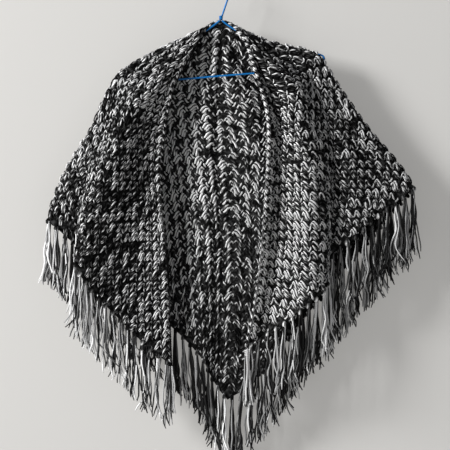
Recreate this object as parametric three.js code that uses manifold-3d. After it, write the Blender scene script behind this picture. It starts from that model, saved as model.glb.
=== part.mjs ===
// A chunky crochet triangle shawl with a yarn fringe, hung open-fronted on a thin wire hanger.
// Millimetres, +Z up, +X to the right of someone facing the shawl, its front towards -Y.
// The origin is the top of the inside of the hanger's hook, where a rail or a nail carries it.
//
// The cloth is one triangle. Its long edge runs from the left front tip up over the hanger, behind
// the hook and down to the right front tip, and its third corner hangs at the back. A point on it
// has a row, from 0 at the neck to 1 at the hem, and a place across that row, which counts the
// folds of its table from 0 at the free edge or the spine.

import * as THREE from "three";
import { mergeVertices } from "three/addons/utils/BufferGeometryUtils.js";
import Module from "manifold-3d";

const wasm = await Module();
wasm.setup();

// Cloth
const WALL = 7; // chunky crochet, face to face
const SEAM = 0.3; // gap between neighbouring pieces
const LIFT_REACH = 85; // distance from the shoulder line over which a layer swings clear of the wire
const SECTION_ROWS = [0, 0.035, 0.07, 0.17, 0.26, 0.34, 0.39, 0.45, 0.54, 0.64, 0.74, 0.83, 0.92, 1];
const FIRST_FRONT_ROW = SECTION_ROWS[2]; // the row where the long edge crosses over the wire
const FOLD_STEPS = 3; // samples for each fold of a table
const ROLL_STEPS = 3; // samples round the turn over the shoulder line
const MIDDLE_ROW = 0.55; // the row that the middle columns of the fold tables describe
const WIRE_ROLL = 6.5; // width of the turn over the shoulder line where it lies on the wire
const SIDE_ROLL = 15; // and where it hangs free beyond the hanger
const ROLL_WIDENING = 0.35; // rows past the hanger's end over which the turn widens
const HEM_RISE = 1.6; // how late the hem's bulges grow on the way down

// Wire hanger
const WIRE_RADIUS = 1.9;
const WIRE_SIDES = 6;
const SHOULDER_STEPS = 20;
const BEND_STEPS = 9; // control points round the hook's bend
const HOOK_STEPS = 24;
const HOOK_RADIUS = 19; // centreline of the hook's bend
const HOOK_RISE = 60.5; // hook centre above the twist
const HOOK_CENTRE_Z = WIRE_RADIUS - HOOK_RADIUS;
const TWIST_Z = HOOK_CENTRE_Z - HOOK_RISE;
const HOOK_SWEEP = 215; // degrees round the bend
const HOOK_TIP = { in: 2.5, down: 7 }; // the bend's last short straight
const TWIST = { turns: 2, steps: 12, radius: 2.6, climb: 7, wire: 1.3, sides: 4, tubeSteps: 18 };
const SHOULDER_START = { out: 2.4, down: 1.8 }; // from the twist's foot
const SHOULDER_NECK = { out: 13, down: 10.5 };
const UNDER_CLOTH_ROWS = [0.09, 0.14, 0.2, 0.26, 0.31, 0.35];
const BAR_Z = -196; // the bar's height at x = 0
const BAR_SLOPE = 0.0822; // the hanger hangs with its right end up
const WIRE_LAY = WALL / 2 + SEAM + WIRE_RADIUS; // wire centreline to the middle of the cloth on it
const BAR_HALF = 186; // the bar's straight length each way from the middle
const BAR_JOIN = 8; // straight end of each shoulder beside the bar

// Fringe
const STRAND_LENGTH = 130;
const STRAND_RADIUS = 1.9;
const STRAND_SIDES = 3;
const STRAND_STEPS = 3;
const STRAND_EXIT = 3.5; // past the strip, where a strand turns down
const STRAND_RANK = 2.2; // strands leave by turns before and behind the strip's middle
const STRAND_UNEVEN = 7; // most that a strand is longer or shorter than the others
const STRAND_SWAY = [1, 1.5]; // sideways at half length and at the end
const FRINGES = [
  { name: "fringe_front_left", strands: 40, seed: 0 },
  { name: "fringe_front_right", strands: 44, seed: 100 },
  { name: "fringe_back_left", strands: 42, seed: 200 },
  { name: "fringe_back_right", strands: 46, seed: 300 },
];
const STRIP_HEIGHT = 5; // last row of the cloth, which the strands are knotted into
const TASSEL_LENGTH = 112;
const TASSEL_HEAD = 15; // height of the wrapped head
const TASSEL_WRAPS = 3;
const TASSEL_RADII = [3.4, 4.3]; // of the head between its wraps and on them
const TASSEL_SIDES = 8;
const TASSEL_STRANDS = 9;
const TASSEL_SEED = 400;

// The long edge, from where it crosses the wire down to each front tip.
const EDGE_LEFT = [
  { row: 0.07, x: -42, z: -108 },
  { row: 0.123, x: -61, z: -146 },
  { row: 0.223, x: -97, z: -213 },
  { row: 0.316, x: -114, z: -282 },
  { row: 0.419, x: -124, z: -360 },
  { row: 0.51, x: -126, z: -429 },
  { row: 0.642, x: -118, z: -530 },
  { row: 0.752, x: -112, z: -614 },
  { row: 0.893, x: -109, z: -721 },
  { row: 1, x: -106, z: -803 },
];
const EDGE_RIGHT = [
  { row: 0.07, x: 42, z: -107 },
  { row: 0.106, x: 54, z: -129 },
  { row: 0.176, x: 69, z: -177 },
  { row: 0.294, x: 94, z: -259 },
  { row: 0.365, x: 100, z: -310 },
  { row: 0.452, x: 99, z: -373 },
  { row: 0.641, x: 90, z: -509 },
  { row: 0.752, x: 83, z: -589 },
  { row: 0.884, x: 70, z: -684 },
  { row: 1, x: 53, z: -765 },
];

// The outline of the cloth's outer face: over the shoulder, then down the side fold to the hem.
const OUTLINE_LEFT = [
  { row: 0, x: -12, z: -80 },
  { row: 0.035, x: -23, z: -86 },
  { row: 0.07, x: -37, z: -95 },
  { row: 0.168, x: -91, z: -119 },
  { row: 0.28, x: -150, z: -148 },
  { row: 0.4, x: -211, z: -184 },
  { row: 0.454, x: -230, z: -209 },
  { row: 0.535, x: -251, z: -251 },
  { row: 0.639, x: -275, z: -307 },
  { row: 0.729, x: -303, z: -352 },
  { row: 0.829, x: -332, z: -402 },
  { row: 0.909, x: -350, z: -446 },
  { row: 1, x: -367, z: -497 },
];
const OUTLINE_RIGHT = [
  { row: 0, x: 12, z: -80 },
  { row: 0.035, x: 24, z: -86 },
  { row: 0.07, x: 36, z: -93 },
  { row: 0.177, x: 92, z: -117 },
  { row: 0.255, x: 134, z: -129 },
  { row: 0.33, x: 176, z: -138 },
  { row: 0.389, x: 207, z: -149 },
  { row: 0.452, x: 227, z: -180 },
  { row: 0.532, x: 250, z: -217 },
  { row: 0.645, x: 285, z: -270 },
  { row: 0.751, x: 321, z: -318 },
  { row: 0.845, x: 356, z: -358 },
  { row: 0.93, x: 386, z: -396 },
  { row: 1, x: 407, z: -430 },
];

// The spine down the middle of the back.
const SPINE = [
  { row: 0, x: 0, z: -80 },
  { row: 0.19, x: -1, z: -234 },
  { row: 0.3, x: 10, z: -320 },
  { row: 0.47, x: 20, z: -456 },
  { row: 0.66, x: 28, z: -603 },
  { row: 0.84, x: 22, z: -750 },
  { row: 1, x: 14, z: -877 },
];

// Folds of each front, from its free edge (0) to the side fold (1). at and atHem are places across
// the middle row and the hem, forward and forwardHem how far the cloth stands in front of the
// hanger there, and hemOut how far the hem hangs beyond the straight line between its ends.
const FRONT_FOLDS_LEFT = [
  { name: "free edge", at: 0, atHem: 0, forward: 30, forwardHem: 22, hemOut: 0 },
  { name: "inner panel", at: 0.2, atHem: 0.16, forward: 33, forwardHem: 30, hemOut: 12 },
  { name: "middle panel", at: 0.45, atHem: 0.38, forward: 40, forwardHem: 38, hemOut: 19 },
  { name: "outer panel", at: 0.7, atHem: 0.6, forward: 48, forwardHem: 48, hemOut: 23 },
  { name: "side ridge", at: 0.87, atHem: 0.76, forward: 48, forwardHem: 56, hemOut: 12 },
  { name: "side pleat", at: 0.94, atHem: 0.87, forward: 32, forwardHem: 20, hemOut: -33 },
  { name: "outer rim", at: 0.97, atHem: 0.94, forward: 22, forwardHem: 16, hemOut: -15 },
  { name: "side fold", at: 1, atHem: 1, forward: 16, forwardHem: 14, hemOut: 0 },
];
const FRONT_FOLDS_RIGHT = [
  { name: "free edge", at: 0, atHem: 0, forward: 42, forwardHem: 32, hemOut: 0 },
  { name: "edge valley", at: 0.17, atHem: 0.1, forward: 28, forwardHem: 26, hemOut: 8 },
  { name: "rise", at: 0.34, atHem: 0.21, forward: 38, forwardHem: 40, hemOut: 19 },
  { name: "ridge", at: 0.54, atHem: 0.35, forward: 54, forwardHem: 58, hemOut: 24 },
  { name: "ridge flank", at: 0.68, atHem: 0.44, forward: 42, forwardHem: 46, hemOut: 24 },
  { name: "pleat", at: 0.8, atHem: 0.54, forward: 27, forwardHem: 22, hemOut: -14 },
  { name: "outer panel", at: 0.88, atHem: 0.69, forward: 28, forwardHem: 32, hemOut: -13 },
  { name: "outer rim", at: 0.95, atHem: 0.86, forward: 20, forwardHem: 22, hemOut: -10 },
  { name: "side fold", at: 1, atHem: 1, forward: 16, forwardHem: 14, hemOut: 0 },
];

// Folds of each half of the back, from the spine (0) to the side fold (1). behind and behindHem
// are how far the cloth stands behind the hanger.
const BACK_FOLDS_LEFT = [
  { name: "spine", at: 0, atHem: 0, behind: 14, behindHem: 16, hemOut: 0 },
  { name: "valley", at: 0.1, atHem: 0.08, behind: 16, behindHem: 18, hemOut: -5 },
  { name: "ridge", at: 0.22, atHem: 0.19, behind: 9, behindHem: 8, hemOut: -23 },
  { name: "slope", at: 0.4, atHem: 0.35, behind: 19, behindHem: 20, hemOut: -25 },
  { name: "outer panel", at: 0.7, atHem: 0.68, behind: 23, behindHem: 24, hemOut: -10 },
  { name: "side fold", at: 1, atHem: 1, behind: 16, behindHem: 14, hemOut: 0 },
];
const BACK_FOLDS_RIGHT = [
  { name: "spine", at: 0, atHem: 0, behind: 14, behindHem: 16, hemOut: 0 },
  { name: "tip flank", at: 0.1, atHem: 0.1, behind: 15, behindHem: 15, hemOut: 18 },
  { name: "ridge", at: 0.3, atHem: 0.24, behind: 8, behindHem: 8, hemOut: 13 },
  { name: "slope", at: 0.52, atHem: 0.48, behind: 20, behindHem: 22, hemOut: 7 },
  { name: "outer panel", at: 0.78, atHem: 0.75, behind: 24, behindHem: 25, hemOut: 3 },
  { name: "side fold", at: 1, atHem: 1, behind: 16, behindHem: 14, hemOut: 0 },
];

const SIDES = {
  left: {
    sign: -1,
    edge: EDGE_LEFT,
    outline: OUTLINE_LEFT,
    front: FRONT_FOLDS_LEFT,
    back: BACK_FOLDS_LEFT,
    shoulderEnd: 0.39,
  },
  right: {
    sign: 1,
    edge: EDGE_RIGHT,
    outline: OUTLINE_RIGHT,
    front: FRONT_FOLDS_RIGHT,
    back: BACK_FOLDS_RIGHT,
    shoulderEnd: 0.36,
  },
};

const clamp01 = (x) => Math.min(1, Math.max(0, x));
const mix = (a, b, t) => a + (b - a) * t;

function smoothstep(x) {
  const t = clamp01(x);
  return t * t * (3 - 2 * t);
}

// The value of one column of a table where its key column has a given value, on a smooth curve
// through the rows.
function lookUp(table, key, at, column) {
  const last = table.length - 1;
  let i = 0;
  while (i < last - 1 && at > table[i + 1][key]) i++;
  const slope = (k) => {
    const a = table[Math.max(0, k - 1)];
    const b = table[Math.min(last, k + 1)];
    return (b[column] - a[column]) / (b[key] - a[key]);
  };
  const from = table[i];
  const to = table[i + 1];
  const span = to[key] - from[key];
  const t = clamp01((at - from[key]) / span);
  const t2 = t * t;
  const t3 = t2 * t;
  return (
    (2 * t3 - 3 * t2 + 1) * from[column] +
    (t3 - 2 * t2 + t) * span * slope(i) +
    (3 * t2 - 2 * t3) * to[column] +
    (t3 - t2) * span * slope(i + 1)
  );
}

// A point (x, z) of an outline table at a row, and the outline's outward direction there.
function planPoint(table, row) {
  return new THREE.Vector2(
    lookUp(table, "row", row, "x"),
    lookUp(table, "row", row, "z"),
  );
}

function outlineNormal(side, row) {
  const step = 0.01;
  const before = planPoint(side.outline, Math.max(0, row - step));
  const after = planPoint(side.outline, Math.min(1, row + step));
  const along = after.sub(before).normalize();
  return new THREE.Vector2(-side.sign * along.y, side.sign * along.x);
}

// The middle of the cloth on the outline, half a wall inside its outer face.
function rimPoint(side, row) {
  return planPoint(side.outline, row).addScaledVector(
    outlineNormal(side, row),
    -WALL / 2,
  );
}

// The value of one column at a place that counts the table's rows from 0, on a smooth curve.
function alongFolds(folds, place, column) {
  const last = folds.length - 1;
  const i = Math.min(last - 1, Math.floor(place));
  const t = place - i;
  const value = (k) => folds[Math.min(last, Math.max(0, k))][column];
  const rise = (k) => (value(k + 1) - value(k - 1)) / 2;
  const t2 = t * t;
  const t3 = t2 * t;
  return (
    (2 * t3 - 3 * t2 + 1) * value(i) +
    (t3 - 2 * t2 + t) * rise(i) +
    (3 * t2 - 2 * t3) * value(i + 1) +
    (t3 - t2) * rise(i + 1)
  );
}

// The same on straight lines between the rows.
function betweenFolds(folds, place, column) {
  const i = Math.min(folds.length - 2, Math.floor(place));
  return mix(folds[i][column], folds[i + 1][column], place - i);
}

// A point in the middle of the cloth. layer is "front" or "back". Past the last fold of the table
// the layer turns over on a round roll, tight on the wire and wider down the side fold, and one
// place further on it ends at the outline.
function clothPoint(side, layer, place, row) {
  const isFront = layer === "front";
  const folds = isFront ? side.front : side.back;
  const depthColumns = isFront ? ["forward", "forwardHem"] : ["behind", "behindHem"];
  const lastFold = folds.length - 1;
  const flatPlace = Math.min(place, lastFold);
  const turn = Math.min(1, lastFold + 1 - place) * (Math.PI / 2);
  const low = smoothstep((row - MIDDLE_ROW) / (1 - MIDDLE_ROW));
  const blend = (read, columns) =>
    mix(read(folds, flatPlace, columns[0]), read(folds, flatPlace, columns[1]), low);

  const rim = rimPoint(side, row);
  const span = planPoint(isFront ? side.edge : SPINE, row).sub(rim);
  const length = span.length();
  const beyondWire = smoothstep((row - side.shoulderEnd) / ROLL_WIDENING);
  const roll = Math.min(mix(WIRE_ROLL, SIDE_ROLL, beyondWire), length * 0.8);
  const share = blend(betweenFolds, ["at", "atHem"]);
  const inward = roll * (1 - Math.cos(turn)) + (length - roll) * (1 - share);

  const rollDepth = mix(WIRE_LAY, SIDE_ROLL - 1, beyondWire);
  const clear = mix(rollDepth, blend(alongFolds, depthColumns), smoothstep(inward / LIFT_REACH));
  const neckDepth = isFront ? 0 : WIRE_LAY * (1 - smoothstep(row / FIRST_FRONT_ROW));
  const depth = mix(neckDepth, clear, Math.sin(turn));

  const hemWay = new THREE.Vector2(-side.sign * span.y, side.sign * span.x).normalize();
  if (hemWay.y > 0) hemWay.negate();
  const hemOut = alongFolds(folds, flatPlace, "hemOut") * clamp01(2 * row - 1) ** HEM_RISE;
  const plan = rim.addScaledVector(span, inward / length).addScaledVector(hemWay, hemOut);
  return new THREE.Vector3(plan.x, (isFront ? -1 : 1) * (SEAM / 2 + depth), plan.y);
}

// A point of the cloth with its outward normal.
function clothFrame(side, layer, place, row) {
  const step = 1e-4;
  const lastPlace = (layer === "front" ? side.front : side.back).length;
  const alongRow = clothPoint(side, layer, Math.min(lastPlace, place + step), row).sub(
    clothPoint(side, layer, Math.max(0, place - step), row),
  );
  const downCloth = clothPoint(side, layer, place, Math.min(1, row + step)).sub(
    clothPoint(side, layer, place, Math.max(0, row - step)),
  );
  const outward = layer === "front" ? -side.sign : side.sign;
  const normal = alongRow.cross(downCloth).normalize().multiplyScalar(outward);
  return { point: clothPoint(side, layer, place, row), normal };
}

// Places across a row, from the free edge or the spine to the outline.
function placesAcross(folds) {
  const places = [];
  for (let k = 0; k < (folds.length - 1) * FOLD_STEPS; k++) places.push(k / FOLD_STEPS);
  for (let k = 0; k <= ROLL_STEPS; k++) places.push(folds.length - 1 + k / ROLL_STEPS);
  return places;
}

// A closed body from a grid of rings: rings[i][j] is point j of closed ring i, and flat caps close
// the first and the last ring.
function ringBody(rings) {
  const count = rings[0].length;
  const positions = rings.flat().flatMap((p) => [p.x, p.y, p.z]);
  const indices = [];
  for (let i = 0; i + 1 < rings.length; i++) {
    for (let j = 0; j < count; j++) {
      const a = i * count + j;
      const b = i * count + ((j + 1) % count);
      indices.push(a, b, a + count, b, b + count, a + count);
    }
  }
  const cap = (base, flip) => {
    const half = count / 2;
    for (let j = 0; j + 1 < half; j++) {
      const a = base + j;
      const b = base + j + 1;
      const c = base + count - 1 - j;
      const d = base + count - 2 - j;
      if (flip) indices.push(a, c, b, b, c, d);
      else indices.push(a, b, c, b, d, c);
    }
  };
  cap(0, true);
  cap((rings.length - 1) * count, false);
  const geometry = new THREE.BufferGeometry();
  geometry.setAttribute("position", new THREE.Float32BufferAttribute(positions, 3));
  geometry.setIndex(indices);
  return geometry;
}

// A geometry as a manifold solid, turned the right way out.
function solidFrom(geometry) {
  const bare = geometry.clone();
  bare.deleteAttribute("normal");
  bare.deleteAttribute("uv");
  const merged = mergeVertices(bare, 1e-4);
  const vertProperties = new Float32Array(merged.attributes.position.array);
  const triVerts = new Uint32Array(merged.index.array);
  const solid = new wasm.Manifold(new wasm.Mesh({ numProp: 3, vertProperties, triVerts }));
  if (solid.volume() > 0) return solid;
  for (let i = 0; i < triVerts.length; i += 3) {
    [triVerts[i + 1], triVerts[i + 2]] = [triVerts[i + 2], triVerts[i + 1]];
  }
  return new wasm.Manifold(new wasm.Mesh({ numProp: 3, vertProperties, triVerts }));
}

function geometryFrom(solid) {
  const made = solid.getMesh();
  const geometry = new THREE.BufferGeometry();
  geometry.setAttribute("position", new THREE.Float32BufferAttribute(made.vertProperties, 3));
  geometry.setIndex(Array.from(made.triVerts));
  geometry.computeVertexNormals();
  return geometry;
}

// A wall of cloth through frames[row][place]: outer points one way, inner points back.
function wallSolid(frames) {
  const rings = frames.map((line) => {
    const outer = line.map((f) => f.point.clone().addScaledVector(f.normal, WALL / 2));
    const inner = line.map((f) => f.point.clone().addScaledVector(f.normal, -WALL / 2));
    return [...outer, ...inner.reverse()];
  });
  return solidFrom(ringBody(rings));
}

function frontLine(side, row) {
  return placesAcross(side.front).map((place) => clothFrame(side, "front", place, row));
}

function frontSolid(side) {
  const rows = SECTION_ROWS.filter((row) => row >= FIRST_FRONT_ROW);
  return wallSolid(rows.map((row) => frontLine(side, row)));
}

// The whole back from the left outline to the right one. The spine's two frames become one.
function backLine(row) {
  const [left, right] = [SIDES.left, SIDES.right].map((side) =>
    placesAcross(side.back).map((place) => clothFrame(side, "back", place, row)),
  );
  left[0].normal.add(right[0].normal).normalize();
  return [...left.reverse(), ...right.slice(1)];
}

function backSolid() {
  return wallSolid(SECTION_ROWS.map(backLine));
}

// Small repeatable unevenness from -1 to 1, a different one for each seed.
function uneven(seed) {
  const wave = Math.sin(seed * 12.9898 + 4.1414) * 43758.5453;
  return 2 * (wave - Math.floor(wave)) - 1;
}

function polygon(radius, sides) {
  const points = [];
  for (let i = 0; i < sides; i++) {
    const angle = (2 * Math.PI * i) / sides;
    points.push(new THREE.Vector2(radius * Math.cos(angle), radius * Math.sin(angle)));
  }
  return new THREE.Shape(points);
}

// A smooth curve whose steps follow its control points, so a bend gets as many as a long straight.
class SteppedCurve extends THREE.CatmullRomCurve3 {
  getUtoTmapping(u) {
    return u;
  }
}

function tubeSolid(curve, radius, sides, steps) {
  return solidFrom(
    new THREE.ExtrudeGeometry(polygon(radius, sides), { steps, extrudePath: curve }),
  );
}

// One strand of fringe: out of the strip, over, and straight down with a slight sway.
function strandSolid(root, seed) {
  const exit = root.point.clone().addScaledVector(root.past, STRIP_HEIGHT + STRAND_EXIT);
  const rank = seed % 2 ? STRAND_RANK : -STRAND_RANK;
  exit.addScaledVector(root.normal, rank);
  const start = root.point
    .clone()
    .addScaledVector(root.past, STRIP_HEIGHT * 0.5)
    .addScaledVector(root.normal, rank * 0.25);
  const length = STRAND_LENGTH + STRAND_UNEVEN * uneven(seed);
  const sway = (drop, reach) =>
    new THREE.Vector3(
      exit.x + reach * uneven(seed + 50),
      exit.y + Math.sign(rank) * reach * 0.6,
      exit.z - drop,
    );
  const curve = new SteppedCurve([
    start,
    exit,
    sway(length * 0.5, STRAND_SWAY[0]),
    sway(length, STRAND_SWAY[1]),
  ]);
  return tubeSolid(curve, STRAND_RADIUS, STRAND_SIDES, STRAND_STEPS);
}

// Each frame of a hem gets its past direction: in the cloth, across the hem and away from it, as
// the mean of the stretches on either side.
function withPast(hem, isLeft) {
  const across = (i) => {
    const along = hem[i + 1].point.clone().sub(hem[i].point);
    const normal = hem[i].normal.clone().add(hem[i + 1].normal);
    return (isLeft ? along.cross(normal) : normal.cross(along)).normalize();
  };
  const last = hem.length - 1;
  return hem.map((frame, i) => ({
    ...frame,
    past: across(Math.max(0, i - 1))
      .add(across(Math.min(last - 1, i)))
      .normalize(),
  }));
}

// The frame at a distance along a hem.
function frameAt(hem, distance) {
  let i = 0;
  let left = distance;
  while (i < hem.length - 2 && left > hem[i + 1].point.distanceTo(hem[i].point)) {
    left -= hem[i + 1].point.distanceTo(hem[i].point);
    i++;
  }
  const t = left / hem[i + 1].point.distanceTo(hem[i].point);
  const blend = (key) => hem[i][key].clone().lerp(hem[i + 1][key], t);
  return {
    point: blend("point"),
    normal: blend("normal").normalize(),
    past: blend("past").normalize(),
  };
}

// A strip just past the hem with its strands fused in, spread evenly along the hem. A strand that
// would hang through one of the neighbours is left out.
function fringeSolid(hem, neighbours, strands, firstSeed) {
  const half = WALL / 2;
  const rings = hem.map((f) => {
    const corner = (reach, lift) =>
      f.point.clone().addScaledVector(f.past, reach).addScaledVector(f.normal, lift);
    const far = SEAM + STRIP_HEIGHT;
    return [corner(SEAM, -half), corner(far, -half), corner(far, half), corner(SEAM, half)];
  });
  let total = 0;
  for (let i = 1; i < hem.length; i++) total += hem[i].point.distanceTo(hem[i - 1].point);
  let solid = solidFrom(ringBody(rings));
  for (let k = 0; k < strands; k++) {
    const root = frameAt(hem, (total * (k + 0.5)) / strands);
    const strand = strandSolid(root, firstSeed + k);
    const isFree = neighbours.every((other) => strand.intersect(other).isEmpty());
    if (isFree) solid = solid.add(strand);
  }
  return solid;
}

// The strips stop a little short of the outline, clear of each other.
function frontHem(side) {
  return withPast(frontLine(side, 1), side.sign > 0).slice(0, -1);
}

function backHem(side) {
  const line = withPast(backLine(1), false);
  const spine = placesAcross(SIDES.left.back).length - 1;
  return side.sign < 0 ? line.slice(1, spine + 1) : line.slice(spine, -1);
}

// The wire under the shoulder line, touching the inside of the roll.
function shoulderWire(side, row) {
  const at = rimPoint(side, row).addScaledVector(outlineNormal(side, row), -WIRE_LAY);
  return new THREE.Vector3(at.x, 0, at.y);
}

const onBar = (x) => new THREE.Vector3(x, 0, BAR_Z + BAR_SLOPE * x);
const inPlane = (x, z) => new THREE.Vector3(x, 0, z);

// One shoulder of the hanger: from the twist down under the cloth, round the end bend and back on
// to the bar. The points of the end bend are given, because each end hangs at its own height.
function shoulderCurve(side, endBend) {
  return new SteppedCurve([
    inPlane(side.sign * SHOULDER_START.out, TWIST_Z - SHOULDER_START.down),
    inPlane(side.sign * SHOULDER_NECK.out, TWIST_Z - SHOULDER_NECK.down),
    ...UNDER_CLOTH_ROWS.map((row) => shoulderWire(side, row)),
    ...endBend,
    onBar(side.sign * (BAR_HALF + BAR_JOIN)),
    onBar(side.sign * (BAR_HALF + SEAM)),
  ]);
}

const LEFT_END = [inPlane(-205, -193), inPlane(-209, -202), inPlane(-205, -210)];
const RIGHT_END = [
  inPlane(207, -151),
  inPlane(215, -155),
  inPlane(217, -163),
  inPlane(213, -172),
  inPlane(205, -177.5),
];

// The hook: a stem that leans from the twist, a round bend and an open tip.
function hookCurve() {
  const lean = Math.asin(HOOK_RADIUS / HOOK_RISE);
  const points = [];
  const foot = inPlane(0, TWIST_Z + 1);
  const bendStart = inPlane(
    HOOK_RADIUS * Math.cos(lean),
    HOOK_CENTRE_Z - HOOK_RADIUS * Math.sin(lean),
  );
  for (const t of [0, 0.5, 0.85]) points.push(foot.clone().lerp(bendStart, t));
  const sweep = THREE.MathUtils.degToRad(HOOK_SWEEP);
  for (let i = 0; i <= BEND_STEPS; i++) {
    const angle = -lean + (sweep * i) / BEND_STEPS;
    points.push(
      inPlane(HOOK_RADIUS * Math.cos(angle), HOOK_CENTRE_Z + HOOK_RADIUS * Math.sin(angle)),
    );
  }
  const tip = points[points.length - 1];
  points.push(inPlane(tip.x - HOOK_TIP.in, tip.z - HOOK_TIP.down));
  return new SteppedCurve(points);
}

// The wrapped collar where the wire's ends are twisted under the hook.
function twistCurve() {
  const points = [];
  for (let i = 0; i <= TWIST.steps; i++) {
    const angle = (2 * Math.PI * TWIST.turns * i) / TWIST.steps;
    const height = TWIST_Z + TWIST.wire / 2 + (i / TWIST.steps) * TWIST.climb;
    points.push(
      new THREE.Vector3(TWIST.radius * Math.cos(angle), TWIST.radius * Math.sin(angle), height),
    );
  }
  return new SteppedCurve(points);
}

// The tassel at the right front's tip: a wrapped head with its strands spreading below it.
function tasselSolid() {
  const tip = clothPoint(SIDES.right, "front", 0, 1);
  const top = tip.z - STRIP_HEIGHT;
  const profile = [new THREE.Vector2(0, TASSEL_HEAD)];
  for (let wrap = 0; wrap < TASSEL_WRAPS; wrap++) {
    const height = (TASSEL_HEAD * (TASSEL_WRAPS - wrap - 0.5)) / TASSEL_WRAPS;
    profile.push(new THREE.Vector2(TASSEL_RADII[0], height + TASSEL_HEAD * 0.14));
    profile.push(new THREE.Vector2(TASSEL_RADII[1], height));
  }
  profile.push(new THREE.Vector2(TASSEL_RADII[0], 0), new THREE.Vector2(0, 0));
  const head = new THREE.LatheGeometry(profile.reverse(), TASSEL_SIDES);
  head.rotateX(Math.PI / 2).translate(tip.x + 1, tip.y, top - TASSEL_HEAD);
  let solid = solidFrom(head);
  for (let k = 0; k < TASSEL_STRANDS; k++) {
    const angle = (2 * Math.PI * k) / TASSEL_STRANDS;
    const spread = (radius, drop) =>
      new THREE.Vector3(
        tip.x + 1 + radius * Math.cos(angle),
        tip.y + radius * Math.sin(angle),
        top - drop,
      );
    const length = TASSEL_LENGTH + STRAND_UNEVEN * uneven(k + TASSEL_SEED);
    const curve = new SteppedCurve([
      spread(1.8, TASSEL_HEAD * 0.6),
      spread(4, TASSEL_HEAD + 12),
      spread(6.5, length * 0.6),
      spread(7.5, length),
    ]);
    solid = solid.add(tubeSolid(curve, STRAND_RADIUS, STRAND_SIDES, STRAND_STEPS));
  }
  return solid;
}

const shoulderCurves = [shoulderCurve(SIDES.left, LEFT_END), shoulderCurve(SIDES.right, RIGHT_END)];
const [shoulderLeft, shoulderRight] = shoulderCurves.map((curve) =>
  tubeSolid(curve, WIRE_RADIUS, WIRE_SIDES, SHOULDER_STEPS),
);
const bar = tubeSolid(
  new THREE.LineCurve3(onBar(-BAR_HALF), onBar(BAR_HALF)),
  WIRE_RADIUS,
  WIRE_SIDES,
  1,
);
const hook = tubeSolid(hookCurve(), WIRE_RADIUS, WIRE_SIDES, HOOK_STEPS).add(
  tubeSolid(twistCurve(), TWIST.wire, TWIST.sides, TWIST.tubeSteps),
);

// The cloth parts round the wire, and the hanger's right end pokes out between two stitches.
function clearOfWire(cloth) {
  const paths = shoulderCurves.map((curve) =>
    tubeSolid(curve, WIRE_RADIUS + SEAM, WIRE_SIDES, SHOULDER_STEPS),
  );
  return paths.reduce((left, path) => left.subtract(path), cloth);
}

const cloths = {
  back_panel: clearOfWire(backSolid()),
  front_left: clearOfWire(frontSolid(SIDES.left)),
  front_right: clearOfWire(frontSolid(SIDES.right)),
};
const tassel = tasselSolid();
const { back_panel: back, front_left: frontLeft, front_right: frontRight } = cloths;
const hems = {
  fringe_front_left: { line: frontHem(SIDES.left), neighbours: [frontLeft] },
  fringe_front_right: { line: frontHem(SIDES.right), neighbours: [frontRight, tassel] },
  fringe_back_left: { line: backHem(SIDES.left), neighbours: [back] },
  fringe_back_right: { line: backHem(SIDES.right), neighbours: [back] },
};
const fringes = { tassel_front_right: tassel };
for (const { name, strands, seed } of FRINGES) {
  fringes[name] = fringeSolid(hems[name].line, hems[name].neighbours, strands, seed);
}
const wires = {
  hanger_shoulder_left: shoulderLeft,
  hanger_shoulder_right: shoulderRight,
  hanger_bar: bar,
  hanger_hook: hook,
};

const yarn = new THREE.MeshStandardMaterial({ color: 0x4a4a4c, roughness: 0.95, metalness: 0 });
const fringeYarn = new THREE.MeshStandardMaterial({
  color: 0x6a6a6e,
  roughness: 0.9,
  metalness: 0,
});
const coatedWire = new THREE.MeshStandardMaterial({
  color: 0x1565c0,
  roughness: 0.35,
  metalness: 0.1,
});

const shawl = new THREE.Group();
function addPieces(solids, material) {
  for (const [name, solid] of Object.entries(solids)) {
    const mesh = new THREE.Mesh(geometryFrom(solid), material);
    mesh.name = name;
    shawl.add(mesh);
  }
}
addPieces(cloths, yarn);
addPieces(fringes, fringeYarn);
addPieces(wires, coatedWire);

export default shawl;
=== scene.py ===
"""A chunky crochet triangle shawl with a yarn fringe, hung open-fronted on a thin wire hanger.

Metres, +Z up, the shawl's front towards -Y. The shape tables are in millimetres and every mesh is
scaled by MM when it is made. The cloth is one triangle. Its long edge runs from the left front tip
up over the hanger, behind the hook and down to the right front tip, and its third corner hangs at
the back. The stitches are laid out on the flat triangle and then carried on to the hanging cloth.
"""

import math

import bpy
import numpy as np
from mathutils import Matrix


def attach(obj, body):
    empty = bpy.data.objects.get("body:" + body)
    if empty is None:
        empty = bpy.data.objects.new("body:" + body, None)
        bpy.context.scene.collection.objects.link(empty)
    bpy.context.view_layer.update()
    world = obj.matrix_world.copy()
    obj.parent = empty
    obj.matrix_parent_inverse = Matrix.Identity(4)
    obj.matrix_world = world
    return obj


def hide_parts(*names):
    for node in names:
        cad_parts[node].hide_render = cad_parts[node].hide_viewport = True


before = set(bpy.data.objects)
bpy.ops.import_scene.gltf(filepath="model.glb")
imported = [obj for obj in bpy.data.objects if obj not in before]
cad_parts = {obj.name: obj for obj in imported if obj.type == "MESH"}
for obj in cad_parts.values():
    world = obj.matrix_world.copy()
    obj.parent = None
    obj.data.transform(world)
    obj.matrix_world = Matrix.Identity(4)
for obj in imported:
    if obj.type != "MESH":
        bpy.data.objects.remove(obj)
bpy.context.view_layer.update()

MM = 0.001
random = np.random.default_rng(11)

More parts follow.
